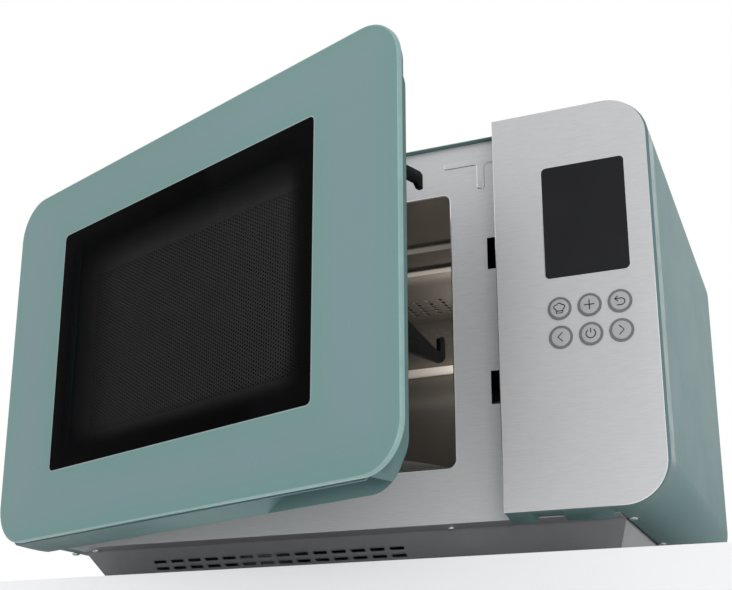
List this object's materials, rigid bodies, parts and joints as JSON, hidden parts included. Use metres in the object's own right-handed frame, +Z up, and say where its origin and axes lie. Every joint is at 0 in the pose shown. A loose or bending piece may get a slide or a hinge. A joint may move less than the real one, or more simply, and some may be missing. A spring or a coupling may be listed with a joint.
{
  "type": "microwave oven",
  "caption": "Countertop microwave oven with rounded jade casing, side-hung glass door, brushed steel control panel with push buttons, and glass turntable.",
  "frame": {"origin": "on the surface it stands on, at the middle of the casing's width and depth", "axes": "+Z up, +X to the right seen from the front, +Y from the front to the back"},
  "size_m": [0.6032, 0.5915, 0.366],
  "materials": {
    "jade_steel": "satin stove enamel",
    "jade_plastic": "satin moulded",
    "door_glass": "glossy back-printed glass panel, opaque",
    "brushed_fascia": "horizontally brushed",
    "frame_steel": "brushed",
    "cavity_steel": "stainless, satin",
    "zinc_steel": "zinc plated sheet",
    "dark_steel": "dark grey coated",
    "rubber": "matte",
    "black_plastic": "matte moulded",
    "display_black": "glossy display cover",
    "board_green": "circuit board",
    "ring_grey": "satin",
    "button_grey": "satin",
    "white_plastic": "moulded",
    "aluminium_fins": "plain",
    "core_iron": "laminated core, varnished",
    "copper": "enamelled copper winding",
    "choke_paint": "black enamel",
    "clear_glass": "clear",
    "mica": "mica sheet",
    "quartz": "frosted tube",
    "pin_steel": "turned",
    "bush_plastic": "acetal"
  },
  "bodies": {
    "root": {"casing": "jade_steel", "rear_panel": "zinc_steel", "base_pan": "dark_steel", "feet": "rubber", "front_frame": "frame_steel", "cavity_left_wall": "cavity_steel", "cavity_right_wall": "cavity_steel", "cavity_back_wall": "cavity_steel", "cavity_floor": "cavity_steel", "cavity_ceiling": "cavity_steel", "grill_reflector": "zinc_steel", "grill_tubes": "quartz", "waveguide_cover": "mica", "waveguide": "zinc_steel", "magnetron_body": "zinc_steel", "magnetron_fins": "aluminium_fins", "transformer_core": "core_iron", "transformer_coils": "copper", "capacitor": "aluminium_fins", "mains_filter": "board_green", "cable_gland": "black_plastic", "fan_shroud": "white_plastic", "fan_motor": "core_iron", "turntable_motor": "zinc_steel", "lamp_holder": "zinc_steel", "cavity_lamp": "clear_glass", "panel_housing": "jade_plastic", "fascia": "brushed_fascia", "display_glass": "display_black", "display_board": "board_green", "button_collars": "ring_grey", "control_board": "board_green", "latch_board": "black_plastic", "interlock_switches": "white_plastic", "hinges": "pin_steel", "base_screws": "pin_steel", "rear_screws": "pin_steel"},
    "door": {"door_glass": "door_glass", "door_frame": "jade_plastic", "hinge_bushes": "bush_plastic", "door_choke": "choke_paint", "inner_window": "clear_glass", "choke_cover": "black_plastic", "hook_pins": "pin_steel"},
    "upper_hook_body": {"upper_hook": "black_plastic"},
    "lower_hook_body": {"lower_hook": "black_plastic"},
    "coupler": {"drive_coupler": "white_plastic"},
    "plate": {"turntable_plate": "clear_glass"},
    "ring": {"roller_ring": "white_plastic"},
    "wheel_1": {"roller_1": "white_plastic"},
    "wheel_2": {"roller_2": "white_plastic"},
    "wheel_3": {"roller_3": "white_plastic"},
    "fan": {"fan_blade": "white_plastic", "fan_shaft": "pin_steel"},
    "button_menu_body": {"button_menu": "button_grey"},
    "button_plus_body": {"button_plus": "button_grey"},
    "button_back_body": {"button_back": "button_grey"},
    "button_left_body": {"button_left": "button_grey"},
    "button_power_body": {"button_power": "button_grey"},
    "button_right_body": {"button_right": "button_grey"}
  },
  "joints": [
    {"name": "door_hinge", "type": "hinge", "parent": "root", "child": "door", "pos_m": [-0.286, -0.1885, 0.199], "axis": [0, 0, -1], "range_deg": [-20.9, 74.1]},
    {"name": "upper_hook_pivot", "type": "hinge", "parent": "door", "child": "upper_hook_body", "pos_m": [0.13019, -0.34743, 0.267], "axis": [0.9342, -0.3567, 0], "range_deg": [0, 5], "stiffness_Nm_per_rad": 1, "springref_deg": -2.86},
    {"name": "lower_hook_pivot", "type": "hinge", "parent": "door", "child": "lower_hook_body", "pos_m": [0.13019, -0.34743, 0.141], "axis": [-0.9342, 0.3567, 0], "range_deg": [0, 5], "stiffness_Nm_per_rad": 1, "springref_deg": -2.86},
    {"name": "button_menu_press", "type": "slide", "parent": "root", "child": "button_menu_body", "axis": [0, 1, 0], "range_m": [0, 0.0012], "stiffness_N_per_m": 600, "springref_m": -0.0005},
    {"name": "button_plus_press", "type": "slide", "parent": "root", "child": "button_plus_body", "axis": [0, 1, 0], "range_m": [0, 0.0012], "stiffness_N_per_m": 600, "springref_m": -0.0005},
    {"name": "button_back_press", "type": "slide", "parent": "root", "child": "button_back_body", "axis": [0, 1, 0], "range_m": [0, 0.0012], "stiffness_N_per_m": 600, "springref_m": -0.0005},
    {"name": "button_left_press", "type": "slide", "parent": "root", "child": "button_left_body", "axis": [0, 1, 0], "range_m": [0, 0.0012], "stiffness_N_per_m": 600, "springref_m": -0.0005},
    {"name": "button_power_press", "type": "slide", "parent": "root", "child": "button_power_body", "axis": [0, 1, 0], "range_m": [0, 0.0012], "stiffness_N_per_m": 600, "springref_m": -0.0005},
    {"name": "button_right_press", "type": "slide", "parent": "root", "child": "button_right_body", "axis": [0, 1, 0], "range_m": [0, 0.0012], "stiffness_N_per_m": 600, "springref_m": -0.0005},
    {"name": "coupler_spin", "type": "hinge", "parent": "root", "child": "coupler", "pos_m": [-0.065, -0.0085, 0.08], "axis": [0, 0, 1], "continuous": true},
    {"name": "plate_lift", "type": "slide", "parent": "coupler", "child": "plate", "axis": [0, 0, 1], "range_m": [0, 0.05]},
    {"name": "ring_spin", "type": "hinge", "parent": "root", "child": "ring", "pos_m": [-0.065, -0.0085, 0.0819], "axis": [0, 0, 1], "continuous": true},
    {"name": "wheel_1_spin", "type": "hinge", "parent": "ring", "child": "wheel_1", "pos_m": [-0.017, 0.07464, 0.0822], "axis": [0.5, 0.866, 0], "continuous": true},
    {"name": "wheel_2_spin", "type": "hinge", "parent": "ring", "child": "wheel_2", "pos_m": [-0.161, -0.0085, 0.0822], "axis": [-1, 0, 0], "continuous": true},
    {"name": "wheel_3_spin", "type": "hinge", "parent": "ring", "child": "wheel_3", "pos_m": [-0.017, -0.09164, 0.0822], "axis": [0.5, -0.866, 0], "continuous": true},
    {"name": "fan_spin", "type": "hinge", "parent": "root", "child": "fan", "pos_m": [0.214, 0.162, 0.246], "axis": [0, 1, 0], "continuous": true}
  ],
  "couplings": [
    {"joint": "ring_spin", "follows": "coupler_spin", "ratio": 0.5},
    {"joint": "wheel_1_spin", "follows": "coupler_spin", "ratio": -6.0759},
    {"joint": "wheel_2_spin", "follows": "coupler_spin", "ratio": -6.0759},
    {"joint": "wheel_3_spin", "follows": "coupler_spin", "ratio": -6.0759}
  ]
}
